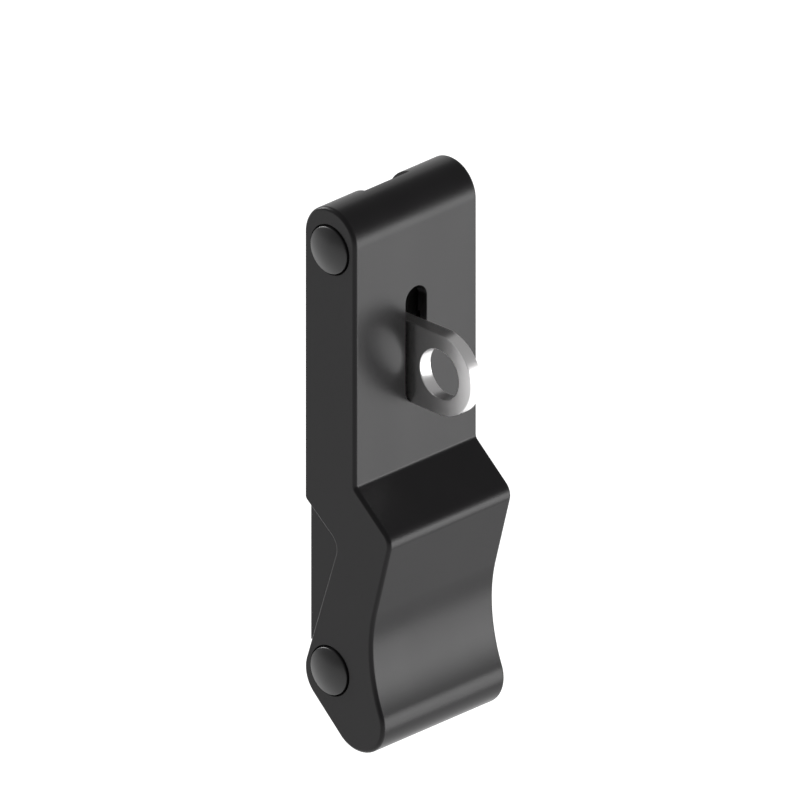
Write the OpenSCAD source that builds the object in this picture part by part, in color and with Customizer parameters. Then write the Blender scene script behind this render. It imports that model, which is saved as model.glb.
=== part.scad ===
// Over-centre draw latch with a rubber link, closed, on its mounting plane.
// X is the width, -Y points outwards to the user and +Z points up.
// The origin is the middle of the two mounting screw holes, on the back plane.
// Side outlines are drawn as (out, up): out from the mounting plane, up from the lower pivot.

/* [Lever] */
// Width of the lever across its cheeks
lever_w = 29; // [28.5:0.5:33]
// Distance from the lower pivot up to the link pin
pin_gap = 77.5; // [76:0.5:84]
// Thickness of the flat slab, which is also the diameter of both round ends
slab_t = 11.75; // [11.7:0.05:12]
// Height of the upper round end's centre above the link pin
end_rise = 1.7; // [1.5:0.1:1.9]
// Depth of the lower round end's centre below the pivot
end_drop = 1.15; // [1:0.05:1.2]
// Thickness of the slab's front wall
skin_t = 2.1; // [1.9:0.1:2.1]
// Thickness of the cheeks beside the base
cheek_t = 2.2; // [2.1:0.1:2.4]
// Height of the crease between the slab and the ledge
crease_up = 35.4; // [35:0.1:35.8]
// Slope of the ledge below the horizontal
ledge_slope = 40.4; // [39.4:0.2:41.4]
// Lean of the finger grip's flat away from the vertical
grip_lean = 14.9; // [14.4:0.1:15.4]
// Radius of the ledge's outer edge
nose_r = 2.9; // [2.6:0.1:3.2]
// Distance of the grip's waist from the lever's rear plane
waist_out = 15.53; // [15.41:0.02:15.71]
// Height of the waist
waist_up = 7.05; // [6.85:0.05:7.25]
// Radius of the hollow above the waist
hollow_r = 27.4; // [26:0.2:29]
// Radius of the lip under the finger grip
lip_r = 6; // [5.9:0.05:6.1]
// Distance of the lip's centre from the lever's rear plane
lip_out = 12.3; // [12.2:0.05:12.4]
// Height of the lip's centre, below the lower pivot
lip_up = -6.88; // [-7.08:0.05:-6.68]

/* [Lever edges] */
// Height at which the notch in the cheek's rear edge starts
notch_top = 29.9; // [29.4:0.1:30.4]
// Depth of the notch to the crossing of its two edges
notch_depth = 7.8; // [7.4:0.1:8]
// Slope of the notch's upper edge
notch_slope = 38.3; // [37:0.1:40]
// Radius of the notch's root
notch_r = 3; // [2.4:0.1:3.2]
// Rounding of the front edges
edge_r = 0.7; // [0.5:0.1:0.9]
// Rounding of the edges under the lip
under_r = 0.5; // [0.4:0.05:0.6]
// Rounding of the rear and notch edges
rear_r = 0.35; // [0.2:0.05:0.5]

/* [Slot and padlock staple] */
// Width of the slot in the slab
slot_w = 4.9; // [4.8:0.1:5.4]
// Height of the slot's lower end
slot_low = 46.1; // [45.6:0.1:46.2]
// Height of the slot's upper end
slot_high = 67.5; // [66.8:0.1:69]
// Thickness of the staple plate
staple_t = 2.5; // [2:0.1:2.8]
// Outer radius of the staple's round end
staple_r = 7.4; // [7:0.1:7.6]
// Radius of the padlock hole
eye_r = 4.5; // [3.8:0.1:4.8]
// Distance of the padlock hole from the lever's rear plane
eye_out = 18.06; // [17.6:0.02:18.6]
// Height of the padlock hole
eye_up = 54.3; // [54:0.1:54.6]

/* [Base] */
// Distance of the closed lever from the mounting plane
back_gap = 0.9; // [0.9:0.05:1.1]
// Gap between the base and each cheek
cheek_gap = 0.2; // [0.15:0.05:0.25]
// Thickness of the base's side walls
wall_t = 1.5; // [1.4:0.1:1.6]
// Height of the side walls beside the finger grip
wall_low_out = 8.4; // [8:0.1:8.5]
// Height of the side walls behind the slab
wall_high_out = 7.6; // [6.8:0.1:7.8]
// Thickness of the floor beside the link
floor_t = 3.3; // [3.1:0.1:3.5]
// Spacing of the two mounting screw holes
screw_gap = 40; // [39:0.5:40.5]
// Height of the lower mounting screw hole
screw_up = 27.5; // [27.2:0.1:28]
// Diameter of the mounting screw holes
screw_d = 4.5; // [4.2:0.1:4.6]

/* [Pins] */
// Diameter of the domed pin heads
head_d = 8.7; // [8.3:0.1:8.9]
// Diameter of the recesses around the heads
recess_d = 9.7; // [9.5:0.05:9.8]
// Rise of the domed heads above the cheek
dome_rise = 1; // [0.8:0.1:1.2]
// Diameter of the lower pivot pins
pivot_d = 5; // [4.8:0.1:5.2]
// Diameter of the link pin
link_pin_d = 4; // [3.8:0.1:4]

/* [Draw link] */
// Width of the rubber strap
strap_w = 10; // [9.6:0.1:10.1]
// Thickness of the rubber strap
strap_t = 3; // [2.8:0.1:3.1]
// Radius of the strap's eye at the back and the top
link_eye_r = 5.2; // [5:0.1:5.3]
// Radius of the strap's eye at the front
link_eye_front_r = 4.15; // [4:0.05:4.2]
// Distance of the strap from the lever's rear plane where it passes the lower pivot
strap_out = 3.35; // [3.3:0.05:3.5]
// Reach of the hook's end below the lower pivot
hook_down = 8.9; // [8.5:0.1:9]
// Thickness of the steel hook
hook_t = 1.5; // [1.2:0.1:1.6]

/* [Hidden] */
$fn = 64;
cut = 1;
// Clearances: pressed together, turning, side by side, swinging past
fit_gap = 0.02;
run_gap = 0.05;
side_gap = 0.25;
swing_gap = 0.3;
half_w = lever_w / 2;
end_r = slab_t / 2;
pivot = [end_r, 0];
link_pin_at = [end_r, pin_gap];
lip = [lip_out, lip_up];
top_round = [end_r, pin_gap + end_rise];
low_round = [end_r, -end_drop];
mount_out = -back_gap;
base_top = pin_gap - link_eye_r;
origin_up = screw_up + screw_gap / 2;

// Arcs of the lever's outline: centre, radius, normal angles
hollow_low_r = (pow(waist_out - lip_out, 2) + pow(waist_up - lip_up, 2) - pow(lip_r, 2))
    / (2 * (lip_r - waist_out + lip_out));
hollow_low = [waist_out + hollow_low_r, waist_up];
hollow_high = [waist_out + hollow_r, waist_up];
lip_angle = atan2(waist_up - lip_up, hollow_low[0] - lip_out);
under_run = lip - low_round;
under_angle = atan2(under_run[1], under_run[0]) - acos((end_r - lip_r) / norm(under_run));
grip_n = [cos(grip_lean), -sin(grip_lean)];
ledge_n = [sin(ledge_slope), cos(ledge_slope)];
ledge_angle = 90 - ledge_slope;
grip_start = hollow_high - hollow_r * grip_n;
crease = [slab_t, crease_up];
nose = meet(grip_n, grip_start, ledge_n, crease);
nose_c = inside(nose, -grip_lean, ledge_angle, nose_r);
crease_r = 1;
crease_c = inside(crease, 0, ledge_angle, -crease_r);

// The notch's corner and root; its lower edge runs straight into the lower round end
notch_top_angle = 270 - notch_slope;
notch_root = [notch_depth, notch_top - notch_depth * tan(notch_slope)];
root_run = notch_root - low_round;
notch_low_angle = atan2(root_run[1], root_run[0]) + acos(end_r / norm(root_run));
corner_r = 1;
corner_c = inside([0, notch_top], 180, notch_top_angle, corner_r);
root_c = inside(notch_root, notch_low_angle, notch_top_angle, -notch_r);

// Lever interior
cavity_x = half_w - cheek_t;
skin_out = slab_t - skin_t;
cavity_low = 8;
cavity_top = base_top + 0.4;
step_out = wall_low_out + swing_gap;
ear_t = 4;
ear_x = half_w - ear_t;
knuckle_room_r = end_r + swing_gap;
ear_sweep_r = knuckle_room_r + end_drop;
channel_x = strap_w / 2 + 0.6;
throat_x = channel_x + side_gap;
eye_gap_x = strap_w / 2 + side_gap;
eye_room_r = link_eye_front_r + swing_gap;
eye_step = 1;
groove_out = slab_t - 1.5;
groove_low = 34;
groove_high = 62;
lip_skin = 2;
throat_lip_out = 9.3;
grip_rib_t = 1.2;
grip_rib_x = ear_x - 2 * grip_rib_t;

// Base
base_x = cavity_x - cheek_gap;
wall_in_x = base_x - wall_t;
knuckle_r = end_r - swing_gap;
flange_room = 0.6;
knuckle_x = ear_x - flange_room;
knuckle_top = cavity_low + 1;
ear_room_x = knuckle_x + 0.15;
floor_out = mount_out + floor_t;
thin_floor_out = 0.6;
channel_floor_out = 2;
channel_step = 20;
floor_low = -1.5;
rib_t = 1.2;
rib_out = 6.2;
rib_high = 64;
cross_rib_out = 5.6;
cross_ribs = [18, 31, 44, 65.5];
wall_step = 33;
sink_d = 7.5;

// Staple foot and rivets, between the channel's rib and the side wall
foot_x = wall_in_x - run_gap;
foot_t = 1.5;
foot_out = mount_out + foot_t;
foot_rise = staple_r + 1.4;
foot_low = eye_up - foot_rise;
foot_high = eye_up + foot_rise;
rivet_d = 2.2;
rivet_rib_x = channel_x + rib_t;
rivet_head_d = wall_in_x - rivet_rib_x - 0.35;
rivet_head_t = 1;
rivet_head_slope = 0.6;
rivet_x = (wall_in_x + rivet_rib_x) / 2;
rivet_sink_out = mount_out + 0.8;
rivet_rise = 4.8;
rivets_up = [eye_up - rivet_rise, eye_up + rivet_rise];

// Pins and bushes
head_t = 1.2;
head_proud = 0.35;
head_in = half_w - head_t;
recess_in = head_in - 0.1;
pin_end_x = channel_x + 0.2;
pin_root = 0.5;
bush_d = 6.8;
flange_d = 9;
flange_in = knuckle_x + 0.1;
cap_bore = 0.6;
sleeve_d = 5.6;
sleeve_x = eye_gap_x - run_gap;

// Bumpers, between the strap and the side wall
bumper_at = [(wall_in_x + strap_w / 2) / 2, base_top - 3.7];
bumper_d = wall_in_x - strap_w / 2 - 0.75;
bumper_bevel = 0.8;
post_d = bumper_d + 0.2;
post_out = 5.6;
stem_d = bumper_d - 2.4;
stem_l = 2;
bumper_out = skin_out - run_gap;

// Link
link_tilt = atan2(end_r - strap_out, pin_gap);
window_w = staple_t + 2.1;
window_low = pin_gap - eye_up + staple_r + 1.8;
window_high = pin_gap - eye_up - staple_r - 3.4;
hook_reach = pin_gap + hook_down;
blade_l = 7.6;
strap_end = hook_reach - blade_l;
shank_x = strap_w / 2 - 1.8;
shank_l = 17.3;
shank_start = strap_end - shank_l;
blade_x = strap_w / 2 - 0.8;
nose_reach = 2.45;
rivet_from_end = 7.4;
rivet_pitch = 7.8;
hook_rivets_at = [strap_end - rivet_from_end - rivet_pitch, strap_end - rivet_from_end];
hook_rivet_d = 2.2;
hook_rivet_head_d = 4;
hook_rivet_head_t = 0.5;

// Plane geometry

function along(angle) = [cos(angle), sin(angle)];

// Crossing of two lines, each given by its normal and a point
function meet(n1, p1, n2, p2) =
    let (d = n1[0] * n2[1] - n1[1] * n2[0], a = n1 * p1, b = n2 * p2)
    [(a * n2[1] - b * n1[1]) / d, (n1[0] * b - n2[0] * a) / d];

// Centre of the fillet between two edges whose outward normals are at a1 and a2
function inside(corner, a1, a2, r) = corner - r / cos((a2 - a1) / 2) * along((a1 + a2) / 2);

// Points of an arc, each [out, up, normal out, normal up, edge rounding]
function arc(c, r, a1, a2, steps, side, e1, e2) = [
    for (i = [0:steps])
        let (t = i / steps, a = a1 + (a2 - a1) * t)
        [c[0] + r * cos(a), c[1] + r * sin(a), side * cos(a), side * sin(a), e1 + (e2 - e1) * t]
];

// The lever's front outline, from just past the lip's lowest point up to the link pin's round end
function lever_front() = concat(
    arc(lip, lip_r, -78, lip_angle, 15, 1, edge_r, edge_r),
    arc(hollow_low, hollow_low_r, 180 + lip_angle, 180, 8, -1, edge_r, edge_r),
    arc(hollow_high, hollow_r, 180 - grip_lean / 6, 180 - grip_lean, 5, -1, edge_r, edge_r),
    arc(nose_c, nose_r, -grip_lean, ledge_angle, 8, 1, edge_r, edge_r),
    arc(crease_c, crease_r, 180 + ledge_angle, 180, 5, -1, edge_r, edge_r),
    arc(top_round, end_r, 0, 81, 9, 1, edge_r, edge_r)
);

// The lever's rear outline, from its highest point down to the lip's lowest point
function lever_rear() = concat(
    arc(top_round, end_r, 90, 180, 10, 1, edge_r, rear_r),
    arc(corner_c, corner_r, 180, notch_top_angle, 4, 1, rear_r, rear_r),
    arc(root_c, notch_r, notch_top_angle - 180, notch_low_angle - 180, 8, -1, rear_r, rear_r),
    arc(low_round, end_r, notch_low_angle, 360 + under_angle, 10, 1, rear_r, under_r),
    arc(lip, lip_r, under_angle, -90, 4, 1, under_r, under_r)
);

// A shell across the width whose side edges are rounded by each point's own radius.
// Its front outline only rises and its rear outline only falls.
module rounded_side(front, rear, half, steps) {
    outline = concat(front, rear);
    count = len(outline);
    last = count - 1;
    rings = concat(
        [for (k = [steps:-1:0]) [90 * k / steps, 1]],
        [for (k = [0:steps]) [90 * k / steps, -1]]
    );
    points = [
        for (ring = rings)
            for (p = outline)
                let (inset = p[4] * (1 - cos(ring[0])))
                [
                    ring[1] * (half - p[4] * (1 - sin(ring[0]))),
                    inset * p[2] - p[0],
                    p[1] - inset * p[3]
                ]
    ];
    sides = [
        for (k = [0:len(rings) - 2])
            for (i = [0:count - 1])
                let (a = k * count + i, b = k * count + (i + 1) % count)
                each [[a, a + count, b], [b, a + count, b + count]]
    ];
    // The flat cheeks are triangles between the two outlines, taken in order of height
    up = [for (p = outline) p[1] - p[4] * p[3]];
    rises = len(front);
    falls = len(rear);
    rear_fan = [
        for (i = [0:falls - 2])
            let (level = up[last - i - 1], f = len([for (j = [1:rises - 1]) if (up[j] < level) j]))
            [last - i - 1, last - i, f]
    ];
    front_fan = [
        for (j = [0:rises - 2])
            let (level = up[j + 1], r = len([for (i = [1:falls - 1]) if (up[last - i] <= level) i]))
            [j, j + 1, last - r]
    ];
    cheek = concat(rear_fan, front_fan);
    far = (len(rings) - 1) * count;
    far_cheek = [for (t = cheek) [far + t[2], far + t[1], far + t[0]]];
    polyhedron(points, concat(sides, cheek, far_cheek));
}

// Placing

// Everything is drawn from the lower pivot's height and the lever's rear plane
module placed() {
    translate([0, mount_out, -origin_up])
        children();
}

// A side outline in (out, up) made solid from x1 to x2
module span(x1, x2) {
    translate([x2, 0, 0])
        rotate([90, 0, -90])
            linear_extrude(x2 - x1)
                children();
}

module both_spans(x1, x2) {
    span(x1, x2)
        children();
    span(-x2, -x1)
        children();
}

module block(out1, up1, out2, up2) {
    translate([out1, up1])
        square([out2 - out1, up2 - up1]);
}

module disc(at, r) {
    translate(at)
        circle(r);
}

// A round bar along the width
module rod(at, r, x1, x2) {
    translate([x1, -at[0], at[1]])
        rotate([0, 90, 0])
            cylinder(r = r, h = x2 - x1);
}

// A round bar pointing outwards, from out1 to out2
module post(x, up, r1, r2, out1, out2) {
    translate([x, -out1, up])
        rotate([90, 0, 0])
            cylinder(r1 = r1, r2 = r2, h = out2 - out1);
}

// A domed head with its flat side at x = head_in, pointing to +X
module domed_head(at) {
    rise = dome_rise - head_proud;
    dome_r = (pow(head_d / 2, 2) + pow(rise, 2)) / (2 * rise);
    intersection() {
        rod(at, head_d / 2, head_in, half_w + dome_rise + cut);
        translate([half_w + dome_rise - dome_r, -at[0], at[1]])
            rotate([0, 90, 0])
                sphere(dome_r, $fn = 128);
    }
}

// The link's own frame: turned about the link pin so that the strap hangs straight down
module link_frame() {
    translate([0, -link_pin_at[0], link_pin_at[1]])
        rotate([link_tilt, 0, 0])
            children();
}

// Lever

// The wide hollow between the cheeks, which the base fills
module lever_cavity() {
    inner_crease = arc(crease_c, crease_r + skin_t, 180 + ledge_angle, 180, 5, -1, 0, 0);
    inner_nose = arc(nose_c, nose_r - skin_t, -grip_lean, ledge_angle, 6, 1, 0, 0);
    inner_hollow = arc(hollow_high, hollow_r + skin_t, 176, 180 - grip_lean, 5, -1, 0, 0);
    ear_top = arc(pivot, end_r, 62, 180, 12, 1, 0, 0);
    corners = concat(
        inner_hollow,
        inner_nose,
        inner_crease,
        [[skin_out, cavity_top], [-cut, cavity_top], [-cut, 0]],
        [for (i = [12:-1:0]) ear_top[i]],
        [[step_out, cavity_low]]
    );
    polygon([for (p = corners) [p[0], p[1]]]);
}

// Room for the base's knuckles between the ears
module knuckle_room() {
    disc(pivot, knuckle_room_r);
    disc(low_round, knuckle_room_r);
    block(-cut, 0, step_out, cavity_low + cut);
}

// Room for the link and its hook as the lever swings
module link_throat() {
    lip_inner = lip_r - lip_skin;
    front = arc(hollow_low, hollow_low_r + lip_skin, 180, 180 + lip_angle, 8, -1, 0, 0);
    floor_arc = arc(lip, lip_inner, lip_angle, -90, 14, 1, 0, 0);
    corners = concat(
        [[-cut, cavity_low + cut], [front[0][0], cavity_low + cut]],
        front,
        floor_arc,
        [[throat_lip_out, lip_up - lip_inner], [throat_lip_out, -20], [-cut, -20]]
    );
    polygon([for (p = corners) [p[0], p[1]]]);
}

// Room for the link's eye at the upper round end
module eye_room() {
    disc(link_pin_at, eye_room_r);
    block(-cut, cavity_top - cut, end_r - eye_step, top_round[1] + end_r + cut);
    block(-cut, cavity_top - cut, skin_out, pin_gap);
}

module lever() {
    slot_r = slot_w / 2;
    color("dimgray")
        placed()
            difference() {
                union() {
                    difference() {
                        rounded_side(lever_front(), lever_rear(), half_w, 4);
                        span(-cavity_x, cavity_x)
                            lever_cavity();
                    }
                    both_spans(grip_rib_x, grip_rib_x + grip_rib_t)
                        intersection() {
                            block(step_out + 0.2, cavity_low - cut, 30, wall_step);
                            polygon([for (p = concat(lever_front(), lever_rear())) [p[0] - cut, p[1]]]);
                        }
                }
                span(-ear_x, ear_x)
                    knuckle_room();
                span(-throat_x, throat_x)
                    link_throat();
                span(-eye_gap_x, eye_gap_x)
                    eye_room();
                span(-throat_x, throat_x)
                    block(skin_out - cut, groove_low, groove_out, groove_high);
                // Slot for the padlock staple
                post(0, slot_low + slot_r, slot_r, slot_r, skin_out - cut, slab_t + cut);
                post(0, slot_high - slot_r, slot_r, slot_r, skin_out - cut, slab_t + cut);
                span(-slot_r, slot_r)
                    block(skin_out - cut, slot_low + slot_r, slab_t + cut, slot_high - slot_r);
                // Link pin bore, bush bores and head recesses
                rod(link_pin_at, link_pin_d / 2 + fit_gap, -half_w - cut, half_w + cut);
                rod(pivot, bush_d / 2 + fit_gap, -half_w - cut, half_w + cut);
                for (at = [pivot, link_pin_at]) {
                    rod(at, recess_d / 2, recess_in, half_w + cut);
                    rod(at, recess_d / 2, -half_w - cut, -recess_in);
                }
            }
}

// Flanged bush in the lever's ear: it turns on the pivot pin
module pivot_bush() {
    placed()
        difference() {
            union() {
                rod(pivot, bush_d / 2, flange_in, recess_in);
                rod(pivot, flange_d / 2, flange_in, ear_x - fit_gap);
            }
            rod(pivot, pivot_d / 2 + run_gap, flange_in - cut, half_w);
        }
}

module pivot_bush_right() {
    color("gainsboro")
        pivot_bush();
}

module pivot_bush_left() {
    color("gainsboro")
        mirror([1, 0, 0])
            pivot_bush();
}

// Stub pin pressed into the base's knuckle
module pivot_pin() {
    placed() {
        domed_head(pivot);
        rod(pivot, pivot_d / 2, pin_end_x, head_in + pin_root);
    }
}

module pivot_pin_right() {
    color("gray")
        pivot_pin();
}

module pivot_pin_left() {
    color("gray")
        mirror([1, 0, 0])
            pivot_pin();
}

// Pin through the lever's upper end, with its head on the left
module link_pin() {
    color("gray")
        placed() {
            mirror([1, 0, 0])
                domed_head(link_pin_at);
            rod(link_pin_at, link_pin_d / 2, -head_in - pin_root, head_in + cap_bore);
        }
}

module link_pin_cap() {
    color("gray")
        placed()
            difference() {
                domed_head(link_pin_at);
                rod(link_pin_at, link_pin_d / 2 + fit_gap, head_in - cut, head_in + cap_bore + fit_gap);
            }
}

// Base

module wall_outline() {
    difference() {
        polygon([
            [mount_out, 0], [wall_low_out, 0], [wall_low_out, wall_step],
            [wall_high_out, wall_step + 1], [wall_high_out, base_top - 1],
            [wall_high_out - 1, base_top], [mount_out, base_top]
        ]);
        disc(pivot, ear_sweep_r);
    }
}

module base() {
    color("darkslategray")
        placed()
            difference() {
                union() {
                    both_spans(base_x - wall_t, base_x)
                        wall_outline();
                    both_spans(ear_room_x, base_x)
                        intersection() {
                            wall_outline();
                            block(mount_out, 0, floor_out, base_top);
                        }
                    both_spans(channel_x, ear_room_x)
                        block(mount_out, knuckle_top - cut, floor_out, base_top);
                    span(-channel_x, channel_x)
                        block(mount_out, floor_low, thin_floor_out, base_top);
                    span(-channel_x, channel_x)
                        block(mount_out, channel_step, channel_floor_out, base_top);
                    both_spans(channel_x, knuckle_x) {
                        disc(pivot, knuckle_r);
                        block(mount_out, 0, wall_low_out, knuckle_top);
                    }
                    both_spans(knuckle_x, base_x)
                        difference() {
                            block(mount_out, knuckle_top - rib_t, wall_low_out, knuckle_top);
                            disc(pivot, ear_sweep_r);
                        }
                    both_spans(channel_x, channel_x + rib_t)
                        block(mount_out, knuckle_top - cut, rib_out, rib_high);
                    for (up = cross_ribs)
                        both_spans(channel_x, base_x)
                            block(mount_out, up, cross_rib_out, up + rib_t);
                    for (side = [-1, 1])
                        post(side * bumper_at[0], bumper_at[1], post_d / 2, post_d / 2, 1, post_out);
                }
                // Mounting screw holes with their countersinks
                for (up = [screw_up, screw_up + screw_gap]) {
                    post(0, up, screw_d / 2, screw_d / 2, mount_out - cut, floor_out + cut);
                    post(0, up, screw_d / 2, sink_d / 2 + 0.1,
                        channel_floor_out - (sink_d - screw_d) / 2, channel_floor_out + 0.1);
                }
                // Recess, slot and rivet holes for the padlock staple
                span(-foot_x - run_gap, foot_x + run_gap)
                    block(mount_out - cut, foot_low - run_gap, foot_out + fit_gap, foot_high + run_gap);
                span(-staple_t / 2 - run_gap, staple_t / 2 + run_gap)
                    block(mount_out - cut, eye_up - staple_r - run_gap, floor_out, eye_up + staple_r + run_gap);
                for (side = [-1, 1]) {
                    for (up = rivets_up)
                        post(side * rivet_x, up, rivet_d / 2 + fit_gap, rivet_d / 2 + fit_gap,
                            mount_out, floor_out + cut);
                    post(side * bumper_at[0], bumper_at[1], stem_d / 2, stem_d / 2,
                        post_out - stem_l, post_out + cut);
                }
                rod(pivot, pivot_d / 2 + fit_gap, -half_w, half_w);
            }
}

// Rear plate that the staple is welded to
module staple_foot() {
    color("silver")
        placed()
            difference() {
                span(-foot_x, foot_x)
                    block(mount_out, foot_low, foot_out, foot_high);
                for (side = [-1, 1])
                    for (up = rivets_up) {
                        post(side * rivet_x, up, rivet_d / 2 + fit_gap, rivet_d / 2 + fit_gap,
                            mount_out - cut, foot_out + cut);
                        post(side * rivet_x, up, rivet_head_d / 2 + fit_gap, rivet_d / 2 + fit_gap,
                            mount_out, rivet_sink_out);
                    }
            }
}

module padlock_staple() {
    color("silver")
        placed()
            difference() {
                span(-staple_t / 2, staple_t / 2) {
                    disc([eye_out, eye_up], staple_r);
                    block(foot_out, eye_up - staple_r, eye_out, eye_up + staple_r);
                }
                rod([eye_out, eye_up], eye_r, -staple_t, staple_t);
            }
}

module staple_rivets() {
    color("silver")
        placed()
            for (side = [-1, 1])
                for (up = rivets_up) {
                    post(side * rivet_x, up, rivet_head_d / 2, rivet_d / 2, mount_out, rivet_sink_out);
                    post(side * rivet_x, up, rivet_d / 2, rivet_d / 2, mount_out, floor_out + 0.1);
                    post(side * rivet_x, up, rivet_head_d / 2, rivet_head_d / 2 - rivet_head_slope,
                        floor_out + fit_gap, floor_out + rivet_head_t);
                }
}

// Rubber pad that the closed slab rests on
module bumper(side) {
    x = side * bumper_at[0];
    color("black")
        placed() {
            post(x, bumper_at[1], stem_d / 2 - fit_gap, stem_d / 2 - fit_gap,
                post_out - stem_l + fit_gap, bumper_out - bumper_bevel);
            post(x, bumper_at[1], bumper_d / 2, bumper_d / 2, post_out + fit_gap, bumper_out - bumper_bevel);
            post(x, bumper_at[1], bumper_d / 2, bumper_d / 2 - bumper_bevel,
                bumper_out - bumper_bevel, bumper_out);
        }
}

module bumper_right() {
    bumper(1);
}

module bumper_left() {
    bumper(-1);
}

// Draw link

module strap_outline() {
    half_t = strap_t / 2;
    disc([0, 0], link_eye_front_r);
    intersection() {
        disc([0, 0], link_eye_r);
        block(-link_eye_r - cut, -link_eye_r - cut, -eye_step - 0.3, link_eye_r + cut);
    }
    block(-half_t, -strap_end, half_t, 0);
}

module draw_link() {
    color("black")
        placed()
            link_frame()
                difference() {
                    span(-strap_w / 2, strap_w / 2)
                        strap_outline();
                    rod([0, 0], sleeve_d / 2 + fit_gap, -strap_w, strap_w);
                    // Window that lets the strap swing past the padlock staple
                    for (up = [-window_low + window_w / 2, -window_high - window_w / 2])
                        post(0, up, window_w / 2, window_w / 2, -strap_t, strap_t);
                    span(-window_w / 2, window_w / 2)
                        block(-strap_t, -window_low + window_w / 2, strap_t, -window_high - window_w / 2);
                    // Pocket for the hook's shank and holes for its rivets
                    span(-shank_x - fit_gap, shank_x + fit_gap)
                        block(-hook_t / 2 - fit_gap, -strap_end - cut, hook_t / 2 + fit_gap,
                            -shank_start + fit_gap);
                    for (down = hook_rivets_at)
                        post(0, -down, hook_rivet_d / 2 + fit_gap, hook_rivet_d / 2 + fit_gap,
                            -strap_t, strap_t);
                }
}

// Steel tube in the strap's eye: it turns on the link pin
module link_eye_sleeve() {
    color("silver")
        placed()
            link_frame()
                difference() {
                    rod([0, 0], sleeve_d / 2, -sleeve_x, sleeve_x);
                    rod([0, 0], link_pin_d / 2 + run_gap, -sleeve_x - cut, sleeve_x + cut);
                }
}

// Steel hook whose shank is moulded into the strap and whose end reaches towards the wall
module link_hook() {
    half_t = hook_t / 2;
    color("silver")
        placed()
            link_frame()
                difference() {
                    union() {
                        span(-shank_x, shank_x)
                            block(-half_t, -strap_end - cut, half_t, -shank_start);
                        span(-blade_x, blade_x) {
                            block(-half_t, -hook_reach + hook_t, half_t, -strap_end - fit_gap);
                            disc([-half_t + hook_t / 2, -hook_reach + hook_t], hook_t / 2);
                            intersection() {
                                disc([-half_t, -hook_reach + hook_t], hook_t);
                                block(-half_t, -hook_reach - cut, half_t + cut, -hook_reach + hook_t);
                            }
                            block(-nose_reach, -hook_reach, -half_t, -hook_reach + hook_t);
                        }
                    }
                    for (down = hook_rivets_at)
                        post(0, -down, hook_rivet_d / 2 + fit_gap, hook_rivet_d / 2 + fit_gap,
                            -strap_t, strap_t);
                }
}

module hook_rivets() {
    head_out = strap_t / 2 + hook_rivet_head_t;
    color("silver")
        placed()
            link_frame()
                for (down = hook_rivets_at) {
                    post(0, -down, hook_rivet_d / 2, hook_rivet_d / 2, -head_out, head_out);
                    post(0, -down, hook_rivet_head_d / 2, hook_rivet_head_d / 2,
                        -head_out, -strap_t / 2 - fit_gap);
                    post(0, -down, hook_rivet_head_d / 2, hook_rivet_head_d / 2,
                        strap_t / 2 + fit_gap, head_out);
                }
}

base();
staple_foot();
padlock_staple();
staple_rivets();
pivot_pin_left();
pivot_pin_right();
bumper_left();
bumper_right();
lever();
pivot_bush_left();
pivot_bush_right();
link_pin();
link_pin_cap();
draw_link();
link_eye_sleeve();
link_hook();
hook_rivets();
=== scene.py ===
"""The draw latch's looks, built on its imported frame. Shapes are drawn in millimetres and made in metres.

A side outline is a list of points (out, up, normal out, normal up, edge rounding): out from the lever's rear
plane and up from the lower pivot, the way the solids are drawn. A profile is a list of (place along an axis,
radius), from one end to the other.
"""
from math import acos, atan2, cos, degrees, hypot, radians, sin, sqrt, tan

import bmesh
import bpy
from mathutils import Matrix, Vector


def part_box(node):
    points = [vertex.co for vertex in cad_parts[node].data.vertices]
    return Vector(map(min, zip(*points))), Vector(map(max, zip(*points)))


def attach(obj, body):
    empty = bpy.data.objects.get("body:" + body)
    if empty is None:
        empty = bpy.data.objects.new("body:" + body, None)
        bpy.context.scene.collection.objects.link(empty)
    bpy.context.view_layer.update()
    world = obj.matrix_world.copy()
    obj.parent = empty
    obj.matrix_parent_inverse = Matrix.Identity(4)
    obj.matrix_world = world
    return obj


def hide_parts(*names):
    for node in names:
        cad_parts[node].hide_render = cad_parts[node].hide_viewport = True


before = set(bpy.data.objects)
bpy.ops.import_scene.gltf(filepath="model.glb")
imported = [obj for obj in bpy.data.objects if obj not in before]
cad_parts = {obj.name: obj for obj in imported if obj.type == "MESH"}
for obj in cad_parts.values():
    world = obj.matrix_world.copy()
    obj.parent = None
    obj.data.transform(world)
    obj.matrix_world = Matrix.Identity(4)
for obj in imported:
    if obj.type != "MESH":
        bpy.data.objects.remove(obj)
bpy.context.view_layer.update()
MM = 0.001

# Places taken from the frame
lever_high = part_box("lever")[1]
pin_low, pin_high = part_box("pivot_pin_left")
top_low, top_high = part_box("link_pin")
PIVOT_UP = (pin_low.z + pin_high.z) / 2 / MM
PIN_GAP = (top_low.z + top_high.z) / 2 / MM - PIVOT_UP
HALF_W = lever_high.x / MM
BACK_GAP = -lever_high.y / MM
END_R = -(top_low.y + top_high.y) / 2 / MM - BACK_GAP
SLAB_T = 2 * END_R

# Pressed together, swinging past, and how far a cutter runs past the face it opens
FIT_GAP = 0.02
SWING_GAP = 0.3
OVERCUT = 1
# A turned end closes on a small flat of this radius
POLE_R = 0.2
# Points closer than this, in metres, become one
WELD = 1e-7
# Faces that meet at more than this angle keep a sharp edge
SHARP_ANGLE = 33
# Segments of a whole circle and of a slot's round end, and a small fillet's step in degrees
CIRCLE_STEPS = 60
SLOT_END_STEPS = 24
FILLET_STEP = 9


# Plane geometry

def along(angle):
    return cos(radians(angle)), sin(radians(angle))


def offset(p, angle, reach):
    n = along(angle)
    return p[0] + reach * n[0], p[1] + reach * n[1]


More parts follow.
